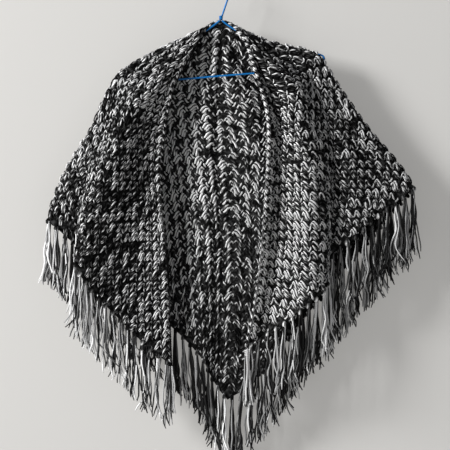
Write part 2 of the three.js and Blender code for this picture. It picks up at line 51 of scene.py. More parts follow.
# Cloth: its thickness, the gap between its two layers, how far from the outline the folds reach
# their depth, and how wide its round edge is over the wire and at the sides
WALL = 7.0
SEAM = 0.3
LIFT_REACH = 85.0
WIRE_ROLL = 6.5
SIDE_ROLL = 15.0
SIDE_ROLL_DEPTH = SIDE_ROLL - 1
ROLL_WIDENING = 0.35  # rows that the edge takes to widen
WIDEST_ROLL = 0.8  # of the way from the outline to the free edge or the spine
FIRST_FRONT_ROW = 0.07  # above it there is no front
MIDDLE_ROW = 0.55  # of the fold tables
HEM_RISE = 1.6

# Wire hanger, in its own plane
WIRE_RADIUS = 1.9
HOOK_RADIUS = 19.0
HOOK_RISE = 60.5
HOOK_CENTRE = WIRE_RADIUS - HOOK_RADIUS
HOOK_SWEEP = math.radians(215)
TWIST_FOOT = HOOK_CENTRE - HOOK_RISE
BAR_HEIGHT = -196.0
BAR_SLOPE = 0.0822
BAR_HALF = 186.0
WIRE_LAY = WALL / 2 + SEAM + WIRE_RADIUS
UNDER_CLOTH_ROWS = np.array([0.09, 0.14, 0.2, 0.26, 0.31, 0.35])

# The flat cut: half of its long edge, and from the neck to the back tip
HALF_EDGE = 775.0
DEPTH = 800.0

# Outlines as row, x, z: row 0 is the neck and row 1 the hem.
EDGE_LEFT = np.array([
    [0.07, -42, -108], [0.123, -61, -146], [0.223, -97, -213], [0.316, -114, -282],
    [0.419, -124, -360], [0.51, -126, -429], [0.642, -118, -530], [0.752, -112, -614],
    [0.893, -109, -721], [1, -106, -803],
])
EDGE_RIGHT = np.array([
    [0.07, 42, -107], [0.106, 54, -129], [0.176, 69, -177], [0.294, 94, -259],
    [0.365, 100, -310], [0.452, 99, -373], [0.641, 90, -509], [0.752, 83, -589],
    [0.884, 70, -684], [1, 53, -765],
])
OUTLINE_LEFT = np.array([
    [0, -12, -80], [0.035, -23, -86], [0.07, -37, -95], [0.168, -91, -119], [0.28, -150, -148],
    [0.4, -211, -184], [0.454, -230, -209], [0.535, -251, -251], [0.639, -275, -307],
    [0.729, -303, -352], [0.829, -332, -402], [0.909, -350, -446], [1, -367, -497],
])
OUTLINE_RIGHT = np.array([
    [0, 12, -80], [0.035, 24, -86], [0.07, 36, -93], [0.177, 92, -117], [0.255, 134, -129],
    [0.33, 176, -138], [0.389, 207, -149], [0.452, 227, -180], [0.532, 250, -217],
    [0.645, 285, -270], [0.751, 321, -318], [0.845, 356, -358], [0.93, 386, -396],
    [1, 407, -430],
])
SPINE = np.array([
    [0, 0, -80], [0.19, -1, -234], [0.3, 10, -320], [0.47, 20, -456], [0.66, 28, -603],
    [0.84, 22, -750], [1, 14, -877],
])

# Folds from the free edge or the spine to the side fold, as columns: place across the middle row,
# place across the hem, distance from the hanger's plane there and at the hem, and how far the hem
# hangs beyond the straight line between its ends.
FRONT_LEFT = np.array([
    [0, 0, 19, 14, 0], [0.2, 0.16, 19, 17, 12], [0.45, 0.38, 32, 28, 19], [0.7, 0.6, 53, 48, 23],
    [0.87, 0.76, 53, 60, 12], [0.94, 0.87, 28, 18, -33], [0.97, 0.94, 20, 15, -15],
    [1, 1, 16, 14, 0],
])
FRONT_RIGHT = np.array([
    [0, 0, 42, 32, 0], [0.17, 0.1, 23, 22, 8], [0.34, 0.21, 38, 40, 19], [0.52, 0.35, 57, 59, 24],
    [0.66, 0.44, 42, 44, 24], [0.8, 0.54, 19, 17, -14], [0.88, 0.69, 27, 33, -13],
    [0.95, 0.86, 20, 22, -10], [1, 1, 16, 14, 0],
])
BACK_LEFT = np.array([
    [0, 0, 14, 16, 0], [0.1, 0.08, 16, 18, -5], [0.22, 0.19, 9, 8, -23], [0.4, 0.35, 19, 20, -25],
    [0.7, 0.68, 23, 24, -10], [1, 1, 16, 14, 0],
])
BACK_RIGHT = np.array([
    [0, 0, 14, 16, 0], [0.1, 0.1, 15, 15, 18], [0.3, 0.24, 8, 8, 13], [0.52, 0.48, 20, 22, 7],
    [0.78, 0.75, 24, 25, 3], [1, 1, 16, 14, 0],
])
SIDES = {
    "left": {
        "sign": -1, "edge": EDGE_LEFT, "outline": OUTLINE_LEFT, "front": FRONT_LEFT,
        "back": BACK_LEFT, "shoulder_end": 0.39,
    },
    "right": {
        "sign": 1, "edge": EDGE_RIGHT, "outline": OUTLINE_RIGHT, "front": FRONT_RIGHT,
        "back": BACK_RIGHT, "shoulder_end": 0.36,
    },
}


def smoothstep(x):
    """0 up to 0, 1 from 1, and 3x^2 - 2x^3 between."""
    t = np.clip(x, 0, 1)
    return t * t * (3 - 2 * t)


def mix(a, b, t):
    """a at t = 0, b at t = 1, straight between."""
    return a + (b - a) * t


def unit(v):
    """Vectors over their own lengths."""
    return v / np.maximum(np.linalg.norm(v, axis=-1, keepdims=True), 1e-9)


def hermite(t, start, end, start_slope, end_slope):
    """The cubic from start to end, t from 0 to 1, that leaves and arrives with those slopes."""
    t2 = t * t
    t3 = t2 * t
    rising = 3 * t2 - 2 * t3
    curve = (1 - rising) * start + rising * end
    return curve + (t3 - 2 * t2 + t) * start_slope + (t3 - t2) * end_slope


def plan_point(table, row):
    """(x, z) of an outline at each row, on cubics through its points, each point's slope being
    the one between its two neighbours."""
    key = table[:, 0]
    last = len(key) - 1
    low = np.maximum(np.arange(last + 1) - 1, 0)
    high = np.minimum(np.arange(last + 1) + 1, last)
    slope = (table[high, 1:] - table[low, 1:]) / (key[high] - key[low])[:, None]
    i = np.clip(np.searchsorted(key, row) - 1, 0, last - 1)
    span = (key[i + 1] - key[i])[..., None]
    t = np.clip((row - key[i])[..., None] / span, 0, 1)
    return hermite(t, table[i, 1:], table[i + 1, 1:], slope[i] * span, slope[i + 1] * span)


def outline_normal(side, row):
    """The outline's outward direction in the plan (x, z): across the chord from just before a row
    to just after it."""
    step = 0.01
    after = plan_point(side["outline"], np.minimum(1, row + step))
    before = plan_point(side["outline"], np.maximum(0, row - step))
    along = unit(after - before)
    return side["sign"] * np.stack([-along[..., 1], along[..., 0]], -1)


def rim_point(side, row):
    """The middle of the cloth on the outline: half a wall inside its outer face."""
    return plan_point(side["outline"], row) - outline_normal(side, row) * WALL / 2


def along_folds(folds, place, column):
    """One column of a fold table at a place that counts its lines from 0, on cubics whose slope
    at a line is half the step between its neighbours."""
    last = len(folds) - 1
    lines = np.arange(last + 1)
    i = np.minimum(last - 1, np.floor(place).astype(int))
    value = folds[:, column]
    slope = (value[np.minimum(lines + 1, last)] - value[np.maximum(lines - 1, 0)]) / 2
    return hermite(place - i, value[i], value[i + 1], slope[i], slope[i + 1])


def cloth_point(side, layer, place, row):
    """A point in the middle of the hanging cloth.

    In the plan it lies on the line from the outline to the free edge or the spine, at the fold
    table's share of it. Its depth is the table's, eased to nothing over LIFT_REACH towards the
    outline. Past the last fold it turns over on a round roll: depth times the sine of the turn,
    and the roll's width times one less its cosine inward. Over the lower half of the cloth it is
    moved down by the table's last column, times the way to the hem to the power HEM_RISE.
    """
    is_front = layer == "front"
    folds = side[layer]
    last = len(folds) - 1
    place, row = np.broadcast_arrays(place, row)
    fold_place = np.minimum(place, last)
    turn = np.minimum(1, last + 1 - place) * (math.pi / 2)
    low = smoothstep((row - MIDDLE_ROW) / (1 - MIDDLE_ROW))
    lines = np.arange(last + 1)
    share = mix(
        np.interp(fold_place, lines, folds[:, 0]), np.interp(fold_place, lines, folds[:, 1]), low
    )
    clear = mix(along_folds(folds, fold_place, 2), along_folds(folds, fold_place, 3), low)
    hem_out = along_folds(folds, fold_place, 4) * np.clip(2 * row - 1, 0, 1) ** HEM_RISE

    rim = rim_point(side, row)
    span = plan_point(side["edge"] if is_front else SPINE, row) - rim
    length = np.linalg.norm(span, axis=-1)
    beyond_wire = smoothstep((row - side["shoulder_end"]) / ROLL_WIDENING)
    roll = np.minimum(mix(WIRE_ROLL, SIDE_ROLL, beyond_wire), length * WIDEST_ROLL)
    inward = roll * (1 - np.cos(turn)) + (length - roll) * (1 - share)

    roll_depth = mix(WIRE_LAY, SIDE_ROLL_DEPTH, beyond_wire)
    clear = mix(roll_depth, clear, smoothstep(inward / LIFT_REACH))
    neck_depth = 0 if is_front else WIRE_LAY * (1 - smoothstep(row / FIRST_FRONT_ROW))
    depth = mix(neck_depth, clear, np.sin(turn))

    hem_way = unit(side["sign"] * np.stack([-span[..., 1], span[..., 0]], -1))
    hem_way = np.where(hem_way[..., 1:] > 0, -hem_way, hem_way)
    plan = rim + span * (inward / length)[..., None] + hem_way * hem_out[..., None]
    y = (-1 if is_front else 1) * (SEAM / 2 + depth)
    return np.stack([plan[..., 0], y, plan[..., 1]], -1)


# The hanging cloth as two grids of points, one for each half. Their first axis is the row from
# neck to hem. Their second is equal steps of cloth across the row, from the free edge through the
# outline to the spine.
GRID_ROWS = 201
GRID_COLUMNS = 401
PLACE_STEPS = 14  # from one fold to the next, and round the outline's edge


def between(places, known, values):
    """Each column of values at places, straight between the known ones."""
    return np.stack([np.interp(places, known, column) for column in values.T], -1)


def even_line(points, count):
    """Each row of points moved along itself to count places that are equally far apart along it,
    and the rows' lengths."""
    steps = np.linalg.norm(np.diff(points, axis=1), axis=-1)
    run = np.concatenate([np.zeros((len(points), 1)), np.cumsum(steps, axis=1)], axis=1)
    length = run[:, -1:]
    offset = 2 * np.arange(len(points))[:, None]
    known = (run / np.maximum(length, 1e-6) + offset).ravel()
    wanted = (np.linspace(0, 1, count) + offset).ravel()
    made = between(wanted, known, points.reshape(-1, 3))
    return made.reshape(len(points), count, 3), length[:, 0]


def half_cloth(side):
    """The grid of one half, its outward normals, its outline's share of the way across and its
    hem's length. Above FIRST_FRONT_ROW there is no front, and its columns lie on the outline."""
    rows = np.linspace(0, 1, GRID_ROWS)
    lines = {}
    for layer in ("front", "back"):
        folds = len(side[layer])
        places = np.linspace(0, folds, folds * PLACE_STEPS + 1)
        lines[layer] = cloth_point(side, layer, places[None, :], rows[:, None])
    front_length = even_line(lines["front"][-1:], 2)[1][0]
    back_length = even_line(lines["back"][-1:], 2)[1][0]
    share = front_length / (front_length + back_length)
    outline_column = round(share * (GRID_COLUMNS - 1))
    front = even_line(lines["front"], outline_column + 1)[0]
    back = even_line(lines["back"], GRID_COLUMNS - outline_column)[0][:, ::-1]
    bare = rows < FIRST_FRONT_ROW
    front[bare] = back[bare, :1]
    points = np.concatenate([front[:, :-1], back], axis=1)
    across = np.gradient(points, axis=1)
    down = np.gradient(points, axis=0)
    normals = unit(-side["sign"] * np.cross(across, down))
    normals[bare, :outline_column] = normals[bare, outline_column + 1][:, None]
    return {
        "points": points, "normals": normals, "share": outline_column / (GRID_COLUMNS - 1),
        "hem": front_length + back_length,
    }


HALVES = {name: half_cloth(side) for name, side in SIDES.items()}
spine_normal = unit(HALVES["left"]["normals"][:, -1] + HALVES["right"]["normals"][:, -1])
for half in HALVES.values():
    half["normals"][:, -1] = spine_normal


def read_grid(grid, row, across):
    """A grid's value at fractions of its two axes, straight between its four nearest points."""
    i = np.clip(row, 0, 1) * (GRID_ROWS - 1)
    j = np.clip(across, 0, 1) * (GRID_COLUMNS - 1)
    i0 = np.minimum(i.astype(int), GRID_ROWS - 2)
    j0 = np.minimum(j.astype(int), GRID_COLUMNS - 2)
    u = (i - i0)[..., None]
    v = (j - j0)[..., None]
    near = mix(grid[i0, j0], grid[i0, j0 + 1], v)
    far = mix(grid[i0 + 1, j0], grid[i0 + 1, j0 + 1], v)
    return mix(near, far, u)


def flat_place(a, b):
    """Row and share across it of a point of the flat cut, a out from the spine and b below the
    long edge: the row is a / HALF_EDGE + b / DEPTH, and the share is how much of it b makes."""
    down = np.maximum(b, 0) / DEPTH
    row = np.maximum(np.abs(a) / HALF_EDGE + down, 1e-6)
    return row, down / row


def on_cloth(a, b, height):
    """Points of the flat cut carried on to the hanging cloth, a negative on the left half, and
    lifted by height along the cloth's outward normal."""
    row, share = flat_place(a, b)
    placed = {}
    for name, half in HALVES.items():
        point = read_grid(half["points"], row, share)
        normal = unit(read_grid(half["normals"], row, share))
        placed[name] = point + normal * height[..., None]
    return np.where((a < 0)[..., None], placed["left"], placed["right"])


# Meshes


def add_object(name, data):
    """A new object, with its origin at the frame's, in the scene."""
    made = bpy.data.objects.new(name, data)
    bpy.context.scene.collection.objects.link(made)
    return made


def signed_volume(points, quads):
    """The volume inside quads, below 0 where they face inward: a sixth of the sum of the triple
    products of their triangles' corners."""
    a, b, c, d = (points[quads[:, k]] for k in range(4))
    return ((a * np.cross(b, c)).sum() + (a * np.cross(c, d)).sum()) / 6


def tube_faces(tubes, stations, sides):
    """Quads round each of several tubes of stations rings, the shares of the length and of the
    ring at each of their corners, and a closing face at either end."""
    t, i, j = np.meshgrid(
        np.arange(tubes), np.arange(stations - 1), np.arange(sides), indexing="ij"
    )
    base = (t * stations + i) * sides
    following = (j + 1) % sides
    quads = np.stack([base + j, base + following, base + following + sides, base + j + sides], -1)
    around = np.stack([j, j + 1, j + 1, j], -1) / sides
    along = np.stack([i, i, i + 1, i + 1], -1) / (stations - 1)
    ring = np.arange(sides)
    first = np.arange(tubes)[:, None] * stations * sides + ring[::-1]
    last = (np.arange(tubes)[:, None] * stations + stations - 1) * sides + ring
    shares = np.stack([along, around], -1)
    return quads.reshape(-1, 4), shares.reshape(-1, 4, 2), np.concatenate([first, last])


def make_piece(name, points, quads, material, shares=None, ends=None, shades=None):
    """A smooth object from points in millimetres, quads and closing faces, which are turned to
    face outward. Shares become its UV map, and shades are a number for each point."""
    order = slice(None, None, -1 if signed_volume(points, quads) < 0 else 1)
    faces = quads[:, order].tolist()
    if ends is not None:
        faces += ends[:, order].tolist()
    mesh = bpy.data.meshes.new(name)
    mesh.from_pydata((points * MM).tolist(), [], faces)
    if shares is not None:
        filled = np.zeros((len(mesh.loops), 2), np.float32)
        filled[: quads.size] = shares[:, order].reshape(-1, 2)
        mesh.uv_layers.new(name="yarn").data.foreach_set("uv", filled.ravel())
    if shades is not None:
        attribute = mesh.attributes.new("shade", "FLOAT", "POINT")
        attribute.data.foreach_set("value", shades.astype(np.float32))
    mesh.polygons.foreach_set("use_smooth", np.ones(len(mesh.polygons), bool))
    mesh.materials.append(material)
    mesh.validate()
    return add_object(name, mesh)


def carried_rings(paths, radii, sides, lean, flatten=1.0):
    """Rings of points round paths, an array of tubes x stations x 3.

    Each ring lies across its path, its first axis on the side that lean gives and its second the
    way across both, and it is flatten times as thick along the second.
    """
    along = unit(np.gradient(paths, axis=1))
    side = unit(np.cross(along, lean))
    up = np.cross(side, along)
    angle = math.tau * np.arange(sides) / sides - math.pi / 2
    wide = radii[..., None, None] * np.cos(angle)[:, None] * side[:, :, None, :]
    tall = radii[..., None, None] * np.sin(angle)[:, None] * up[:, :, None, :] * flatten
    return paths[:, :, None, :] + wide + tall


def tube_piece(
    name, paths, radii, sides, lean, material, shades=None, flatten=1.0, yarn_length=1.0
):
    """Tubes along paths as one object. Radii and shades are for each station of each tube, or
    spread over them, and yarn_length is a tube's length in units of the UV map."""
    stations = paths.shape[:2]
    radii = np.broadcast_to(radii, stations)
    rings = carried_rings(paths, radii, sides, lean, flatten).reshape(-1, 3)
    quads, shares, ends = tube_faces(*stations, sides)
    shares = shares * (yarn_length, 1)
    if shades is not None:
        shades = np.repeat(np.broadcast_to(shades, stations).ravel(), sides)
    return make_piece(name, rings, quads, material, shares, ends, shades)


def smooth_path(points, steps):
    """A curve through points with steps to each span, on cubics whose slopes weigh the spans'
    lengths (the square root of each, which keeps uneven spans from overshooting)."""
    spans = np.sqrt(np.linalg.norm(np.diff(points, axis=0), axis=1))
    spans = np.concatenate([spans[:1], spans, spans[-1:]])
    ends = np.concatenate([
        [2 * points[0] - points[1]], points, [2 * points[-1] - points[-2]],
    ])
    before, here, after, beyond = ends[:-3], ends[1:-2], ends[2:-1], ends[3:]
    d0, d1, d2 = (s[:, None] for s in (spans[:-2], spans[1:-1], spans[2:]))
    leave = ((here - before) / d0 - (after - before) / (d0 + d1) + (after - here) / d1) * d1
    arrive = ((after - here) / d1 - (beyond - here) / (d1 + d2) + (beyond - after) / d2) * d1
    t = (np.arange(steps) / steps)[None, :, None]
    made = hermite(t, here[:, None], after[:, None], leave[:, None], arrive[:, None])
    return np.concatenate([made.reshape(-1, 3), points[-1:]])


# Materials


class Value:
    """A socket of a material. An operator on it adds the Math node that works it out."""

    def __init__(self, recipe, socket):
        self.recipe = recipe
        self.socket = socket

    def __add__(self, other):
        return self.recipe.maths("ADD", self, other)

    __radd__ = __add__

    def __mul__(self, other):
        return self.recipe.maths("MULTIPLY", self, other)

    __rmul__ = __mul__

    def __sub__(self, other):
        return self.recipe.maths("SUBTRACT", self, other)

    def __rsub__(self, other):
        return self.recipe.maths("SUBTRACT", other, self)

    def __abs__(self):
        return self.recipe.maths("ABSOLUTE", self)


class Recipe:
    """The nodes of one material."""

    def __init__(self, name, **constants):
        self.material = bpy.data.materials.new(name)
        self.material.use_nodes = True
        self.tree = self.material.node_tree
        self.shader = self.tree.nodes["Principled BSDF"]
        for key, value in constants.items():
            self.shader.inputs[key.replace("_", " ")].default_value = value

    def add(self, kind, settings=None, inputs=None, output=0):
        """Adds a node: its settings first, then the values or links of its sockets."""
        node = self.tree.nodes.new(kind)
        for key, value in (settings or {}).items():
            if key == "stops":
                self.set_stops(node.color_ramp, value)
            else:
                setattr(node, key, value)
        for key, value in (inputs or {}).items():
            if isinstance(value, Value):
                self.tree.links.new(value.socket, node.inputs[key])
            else:
                node.inputs[key].default_value = value
        return Value(self, node.outputs[output])

    def set_stops(self, ramp, stops):
        """Grey stops of a ramp, each a position and how bright it is."""
        while len(ramp.elements) < len(stops):
            ramp.elements.new(0.5)
        for element, (position, grey) in zip(ramp.elements, stops):
            element.position = position
            element.color = (grey, grey, grey, 1)

    def maths(self, operation, *values):
        return self.add("ShaderNodeMath", {"operation": operation}, dict(enumerate(values)))

    def noise(self, scale, detail):
        """Noise from 0 to 1 in the piece's own coordinates, scale to the metre."""
        place = self.add("ShaderNodeTexCoord", output="Object")
        inputs = {"Vector": place, "Scale": scale, "Detail": detail}
        return self.add("ShaderNodeTexNoise", inputs=inputs)

    def ramp(self, stops, factor):
        return self.add("ShaderNodeValToRGB", {"stops": stops}, {0: factor})

    def blend(self, factor, first, second):
        """A mix of two colours. Sockets 6 and 7 are the node's two colours."""
        inputs = {0: factor, 6: first, 7: second}
        return self.add("ShaderNodeMix", {"data_type": "RGBA"}, inputs, output=2)

    def attribute(self, name):
        return self.add("ShaderNodeAttribute", {"attribute_name": name}, output="Fac")

    def strand_place(self):
        """The way along a strand and the way round it, from its UV map."""
        place = self.add("ShaderNodeUVMap", {"uv_map": "yarn"})
        along = self.add("ShaderNodeSeparateXYZ", inputs={0: place})
        return along, Value(self, along.socket.node.outputs[1])

    def finish(self, height, distance, strength, **changing):
        """Links what changes over the surface to the shader, and its height through a bump, and
        gives the material."""
        inputs = {"Height": height, "Distance": distance, "Strength": strength}
        changing["Normal"] = self.add("ShaderNodeBump", inputs=inputs)
        for key, value in changing.items():
            self.tree.links.new(value.socket, self.shader.inputs[key.replace("_", " ")])
        return self.material


# How much light each yarn gives back
WHITE_YARN = 0.84
GREY_YARN = 0.17
BLACK_YARN = 0.003

# The marled yarn: its colours' turn and its plies' turn for each unit of its UV map, how much
# single fibres, a slow drift and the twist of pale and dark change its tone, and how sharp the
# grooves between its plies are and how far painted shade darkens them
MARL_TURN = 1.3
MARL_PLIES = 4
PLY_TURN = 1.2
FIBRE_TONE = 0.5
DRIFT_TONE = 0.5
TWIST_TONE = 0.3
GROOVE_SHARPNESS = 1.6
GROOVE_PAINTED_SHADE = 0.8

# The fringe's yarn: its plies, their turns from end to end, and how uneven its tone is
END_PLIES = 3
END_TURNS = 30
END_FIBRE_TONE = 0.12


def marled_yarn():
    """Thick soft yarn, each strand black, grey or white. Its tone drifts along it, pale and dark
    wind round it, and grooves run between its plies, darkened by painted shade."""
    recipe = Recipe("marled_yarn", Roughness=0.95, Specular_IOR_Level=0.06)
    along, ring = recipe.strand_place()
    fibres = recipe.noise(700, 3.0)
    drift = recipe.noise(95, 1.0)
    twist = recipe.maths("SINE", (ring + along * MARL_TURN) * math.tau)
    tone = recipe.attribute("shade") + (fibres - 0.5) * FIBRE_TONE
    tone = tone + (drift - 0.5) * DRIFT_TONE + twist * TWIST_TONE
    stops = [(0.2, BLACK_YARN), (0.45, GREY_YARN * 0.55), (0.62, GREY_YARN), (0.85, WHITE_YARN)]
    groove = abs(recipe.maths("SINE", (ring * MARL_PLIES + along * PLY_TURN) * math.pi))
    deep = recipe.maths("POWER", 1 - groove, GROOVE_SHARPNESS)
    black = (BLACK_YARN, BLACK_YARN, BLACK_YARN, 1)
    # Painted shade: the grooves between the plies darkened towards black.
    color = recipe.blend(deep * GROOVE_PAINTED_SHADE, recipe.ramp(stops, tone), black)
    return recipe.finish(groove + fibres * 0.5, 0.0009, 0.9, Base_Color=color)


def gap_shade_yarn():
    """The yarn deep between the stitches: nearly black with a few grey fibres, its black partly
    the yarn's black strand and partly painted shade in the deep gaps.
    """
    recipe = Recipe("gap_shade_yarn", Roughness=0.95, Specular_IOR_Level=0.1)
    loops = recipe.noise(150, 3.0)
    color = recipe.ramp([(0.45, 0.002), (0.75, 0.04)], loops)
    return recipe.finish(loops, 0.002, 1.0, Base_Color=color)


def end_yarn():
    """Single yarn ends: each black, grey or white all along, of plies wound round each other."""
    recipe = Recipe("end_yarn", Roughness=0.92, Specular_IOR_Level=0.15)
    along, ring = recipe.strand_place()
    fibres = recipe.noise(500, 2.0)
    tone = recipe.attribute("shade") + (fibres - 0.5) * END_FIBRE_TONE
    stops = [(0.0, 0.008), (0.35, 0.02), (0.5, 0.13), (0.7, 0.32), (1.0, 0.72)]
    groove = abs(recipe.maths("SINE", (ring * END_PLIES + along * END_TURNS) * math.pi))
    return recipe.finish(groove, 0.0004, 0.7, Base_Color=recipe.ramp(stops, tone))


def coated_wire():
    """Blue plastic drawn over wire: smooth, a little uneven in colour and gloss."""
    recipe = Recipe("coated_wire", Coat_Weight=0.08, Coat_Roughness=0.25, Specular_IOR_Level=0.25)
    worn = recipe.noise(90, 3.0)
    color = recipe.blend(worn, (0.0, 0.09, 0.29, 1), (0.0, 0.15, 0.42, 1))
    return recipe.finish(worn, 0.0002, 0.3, Base_Color=color, Roughness=worn * 0.25 + 0.35)


def plaster(name, paint, glow):
    """Pale painted plaster. A little light of its own softens the shadows on it, and seen from
    behind it lets the view through to the shawl."""
    recipe = Recipe(
        name, Roughness=0.9, Base_Color=(*paint, 1), Emission_Color=(*paint, 1),
        Emission_Strength=glow,
    )
    material = recipe.finish(recipe.noise(14, 4.0), 0.001, 0.1)
    side = recipe.add("ShaderNodeNewGeometry", output="Backfacing")
    clear = recipe.add("ShaderNodeBsdfTransparent")
    shown = Value(recipe, recipe.shader.outputs[0])
    mixed = recipe.add("ShaderNodeMixShader", inputs={0: side, 1: shown, 2: clear})
    recipe.tree.links.new(mixed.socket, recipe.tree.nodes["Material Output"].inputs["Surface"])
    return material


MARLED_YARN = marled_yarn()
GAP_SHADE_YARN = gap_shade_yarn()
END_YARN = end_yarn()
COATED_WIRE = coated_wire()

# The ground cloth, which the stitches stand on
GROUND_THICKNESS = 2.4
GROUND_ROWS = 88
GROUND_COLUMNS = 110


def ground_cloth():
    """A thin sheet through the middle of the hanging cloth: both halves' grids side by side,
    without the corner that the long edge cuts off above FIRST_FRONT_ROW."""
    rows = np.linspace(0, 1, GROUND_ROWS)
    columns = np.linspace(0, 1, GROUND_COLUMNS)
    parts = []
    kept = []
    for half in HALVES.values():
        shares = np.sort(np.append(columns, half["share"]))
        row, share = np.meshgrid(rows, shares, indexing="ij")
        parts.append(read_grid(half["points"], row, share))
        kept.append((row >= FIRST_FRONT_ROW) | (share >= half["share"] - 1e-6))
    points = np.concatenate([parts[0], parts[1][:, -2::-1]], axis=1)
    real = np.concatenate([kept[0], kept[1][:, -2::-1]], axis=1)
    width = points.shape[1]
    i, j = np.meshgrid(np.arange(GROUND_ROWS - 1), np.arange(width - 1), indexing="ij")
    a = i * width + j
    quads = np.stack([a, a + width, a + width + 1, a + 1], -1).reshape(-1, 4)
    quads = quads[real.ravel()[quads].all(axis=1)]
    used, renumbered = np.unique(quads, return_inverse=True)
    return points.reshape(-1, 3)[used], renumbered.reshape(-1, 4)


# The sheet's nearly black colour is partly painted shade between the stitches.
shawl_cloth = make_piece("shawl_cloth", *ground_cloth(), GAP_SHADE_YARN)
thickness = shawl_cloth.modifiers.new("thickness", "SOLIDIFY")
thickness.thickness = GROUND_THICKNESS * MM
thickness.offset = 0

# Stitches, laid out on the flat cut in millimetres
PITCH_ALONG = 20.5
PITCH_DOWN = 18.6
FIRST_STITCH = 10.0  # below the long edge
FIRST_STITCH_ROW = FIRST_FRONT_ROW + 0.01
LAST_STITCH_ROW = 0.992
HEM_WAY = unit(np.array([DEPTH, HALF_EDGE]))  # from the neck towards the hem, across it
INNER_CLEARANCE = 16.0  # free of stitches inside the outline, full from NECK_ROW down
NECK_ROW = 0.16
INNER_HEIGHT = 0.55  # how high the stitches stand on the inner face, of the outer face's height

# One stitch as strands of yarn. Each line is: across (towards the stitch's open side), down
# (towards the hem), height over the middle of the cloth, half width. Two strands arch over its
# head and run down, a third lies beside them, and a short leg leaves its foot.
INNER_ARCH = np.array([
    [-6.4, -2.2, -0.4, 1.3], [-6.0, -7.6, 2.8, 1.7], [-2.8, -10.0, 4.6, 1.8],
    [-0.4, -5.6, 5.2, 1.9], [-0.2, 2.4, 4.6, 1.9], [1.2, 9.4, -0.2, 1.4],
])
OUTER_ARCH = np.array([
    [-2.2, -12.8, -0.8, 1.2], [2.6, -11.4, 3.4, 1.7], [4.6, -5.0, 4.4, 1.8], [4.8, 2.6, 3.8, 1.7],
    [6.2, 8.2, -0.4, 1.3],
])
SIDE_STRAND = np.array([
    [-4.2, -5.2, 1.0, 1.2], [-3.9, -0.6, 3.8, 1.6], [-3.5, 5.4, 3.6, 1.6], [-1.6, 11.0, -0.4, 1.2],
])
SHORT_LEG = np.array([
    [0.4, 10.6, 0.2, 1.3], [4.2, 11.6, 3.2, 1.6], [8.0, 8.4, 3.0, 1.6], [10.2, 3.2, -0.4, 1.2],
])
# Each strand with the chances that it is black and that it is grey. The rest are white.
STRANDS = (
    (INNER_ARCH, 0.1, 0.34), (OUTER_ARCH, 0.2, 0.3), (SIDE_STRAND, 0.45, 0.3),
    (SHORT_LEG, 0.25, 0.35),
)
STRAND_TONES = (0.05, 0.52, 0.92)
YARN_SIDES = 4
STRAND_FLATNESS = 0.72
YARN_UNIT = 20.0  # millimetres of yarn to a unit of its UV map

# How uneven the stitches are: their place, lean and size, and the tone of a whole stitch and of
# each strand
LEAN_WAY = {"outer": -0.28, "inner": 0.42}
PLACE_STEP = 1.6
LEAN_STEP = 0.22
SIZE_RANGE = (0.88, 1.1)
STITCH_TONE_STEP = 0.2
STRAND_TONE_STEP = 0.1

# Painted light and shade on the stitches: how much lighter or darker their yarn is made. The left
# front's inner side is darkened as painted shade, the left back beside the front's free edge is
# lightened against that front's shadow, and elsewhere the yarn is darker or lighter by place as
# listed. Across each front, by the place from the free edge (0) to the outline (1), across each
# back, from the outline (0) to the spine (1), and down each of them, from the neck (0) to the hem
# (1).
PAINTED_SHADING_ACROSS = {
    ("front", "left"): ([0, 0.08, 0.2, 0.62, 0.78, 1], [0.12, 0.08, -0.16, -0.24, -0.16, -0.1]),
    ("front", "right"): (
        [0, 0.12, 0.28, 0.5, 0.66, 0.85, 1], [0.2, 0.2, 0.1, 0.02, -0.03, -0.1, -0.02],
    ),
    ("back", "left"): ([0, 0.4, 0.5, 0.65, 0.85, 1], [0, 0, 0.35, 0.3, 0.1, 0]),
    ("back", "right"): ([0, 1], [0, 0]),
}
PAINTED_SHADING_DOWN = {
    ("front", "left"): ([0, 0.4, 0.6, 1], [0.2, 0.15, 0, 0]),
    ("front", "right"): ([0, 0.25, 0.45, 1], [-0.22, -0.2, 0.05, 0.08]),
    ("back", "left"): ([0, 0.2, 0.5, 0.7, 1], [0.1, 0.15, 0.08, -0.15, -0.4]),
    ("back", "right"): ([0, 0.2, 0.5, 0.7, 1], [0, 0.1, 0.1, -0.15, -0.4]),
}
PATCHES = [(layer, side_name) for side_name in ("left", "right") for layer in ("front", "back")]


def stretch_of_row(layer, half):
    """The shares of a row at which a layer of one half starts and ends."""
    return (0, half["share"]) if layer == "front" else (half["share"], 1)


def stitch_sites():
    """Places of the stitches on the flat cut: a net of PITCH_ALONG by PITCH_DOWN that starts half
    a pitch from the spine and FIRST_STITCH below the long edge, as far as LAST_STITCH_ROW."""
    across = np.arange(0.5, HALF_EDGE / PITCH_ALONG) * PITCH_ALONG
    down = np.arange(0, DEPTH / PITCH_DOWN) * PITCH_DOWN + FIRST_STITCH
    a, b = (grid.ravel() for grid in np.meshgrid(across, down))
    row, share = flat_place(a, b)
    inside = row < LAST_STITCH_ROW
    return a[inside], b[inside], row[inside], share[inside]


SITES = stitch_sites()


